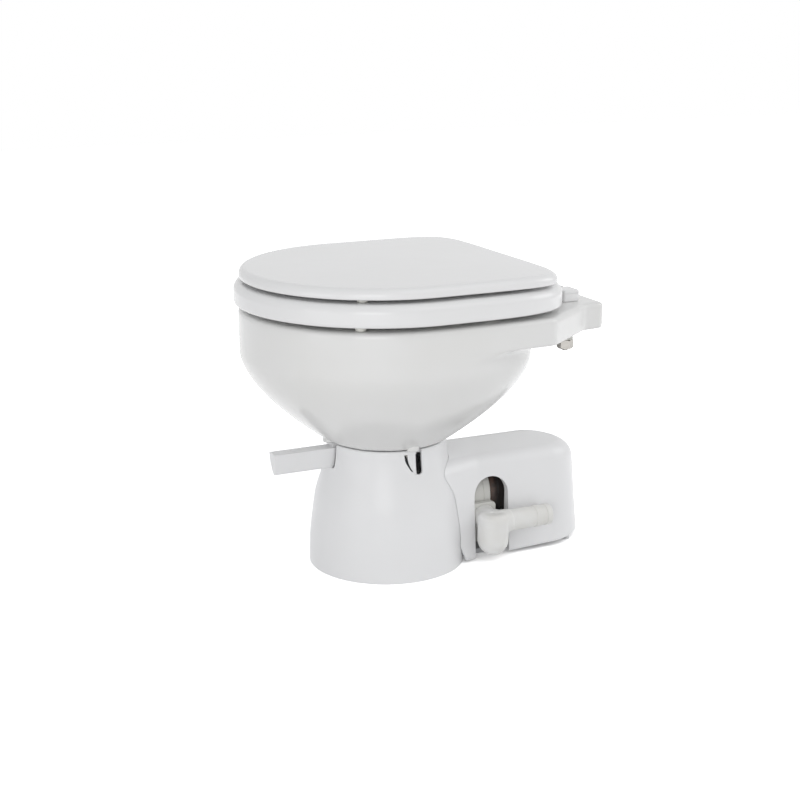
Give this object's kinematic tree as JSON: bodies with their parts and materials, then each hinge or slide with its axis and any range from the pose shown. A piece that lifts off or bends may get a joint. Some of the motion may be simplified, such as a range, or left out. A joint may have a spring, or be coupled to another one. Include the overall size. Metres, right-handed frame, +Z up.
{
  "type": "electric marine toilet",
  "caption": "Compact electric marine toilet: china bowl on a moulded pedestal, hinged seat and lid, macerator pump and motor under a rear cover.",
  "frame": {"origin": "on the floor, at the centre of the four floor bolt holes, under the middle of the round pedestal", "axes": "+Z up, -Y towards the front of the bowl, +Y towards the pump cover, +X to the side of the discharge elbow"},
  "size_m": [0.3221, 0.4205, 0.35],
  "materials": {
    "china": "glazed white china, gloss",
    "white_moulding": "white moulded plastic, semi gloss",
    "grey_moulding": "pale grey moulded plastic",
    "pump_white": "off-white moulded plastic",
    "elbow_white": "white moulded plastic, satin",
    "seat_white": "white enamelled, gloss",
    "motor_black": "black painted",
    "laminations": "dark steel laminations",
    "carbon": "black carbon",
    "stainless": "stainless steel",
    "black_rubber": "black rubber",
    "clear_rubber": "milky soft plastic"
  },
  "bodies": {
    "toilet_base": {"bowl": "china", "pedestal": "white_moulding", "bowl_gasket": "black_rubber", "bowl_screws": "stainless", "bowl_screw_washers": "stainless", "base_frame": "grey_moulding", "skirt_screws": "stainless", "waste_sump": "grey_moulding", "bowl_outlet_seal": "black_rubber", "pump_inlet_seal": "black_rubber", "chopper_housing": "pump_white", "cutter_plate": "stainless", "impeller_housing": "pump_white", "motor_adapter": "motor_black", "pump_screws": "stainless", "shaft_seal": "black_rubber", "motor_can": "motor_black", "field_magnets": "laminations", "carbon_brushes": "carbon", "brush_holders": "motor_black", "motor_end_cap": "motor_black", "cable_gland": "motor_black", "motor_bearings": "stainless", "motor_pads": "black_rubber", "elbow_seal": "black_rubber", "pump_cover": "white_moulding", "cover_screw": "stainless", "hinge_posts": "seat_white", "hinge_pins": "stainless", "hinge_bolts": "stainless", "hinge_washers": "clear_rubber", "hinge_nuts": "stainless", "rinse_inlet": "elbow_white"},
    "rotor": {"motor_shaft": "stainless", "chopper_blade": "stainless", "impeller": "pump_white", "armature": "laminations"},
    "elbow": {"discharge_elbow": "elbow_white"},
    "seat_ring": {"seat": "seat_white", "seat_bumpers": "clear_rubber"},
    "lid_cover": {"lid": "seat_white", "lid_bumpers": "clear_rubber"}
  },
  "joints": [
    {"name": "seat_hinge", "type": "hinge", "parent": "toilet_base", "child": "seat_ring", "pos_m": [0, 0.19, 0.311], "axis": [-1, 0, 0], "range_deg": [0, 95]},
    {"name": "lid_hinge", "type": "hinge", "parent": "seat_ring", "child": "lid_cover", "pos_m": [0, 0.19, 0.311], "axis": [-1, 0, 0], "range_deg": [0, 95]},
    {"name": "elbow_swivel", "type": "hinge", "parent": "toilet_base", "child": "elbow", "pos_m": [0.0453, 0.1035, 0.048], "axis": [1, 0, 0], "range_deg": [0, 90]},
    {"name": "rotor_spin", "type": "hinge", "parent": "toilet_base", "child": "rotor", "pos_m": [0, 0.15, 0.068], "axis": [0, 1, 0], "continuous": true}
  ]
}
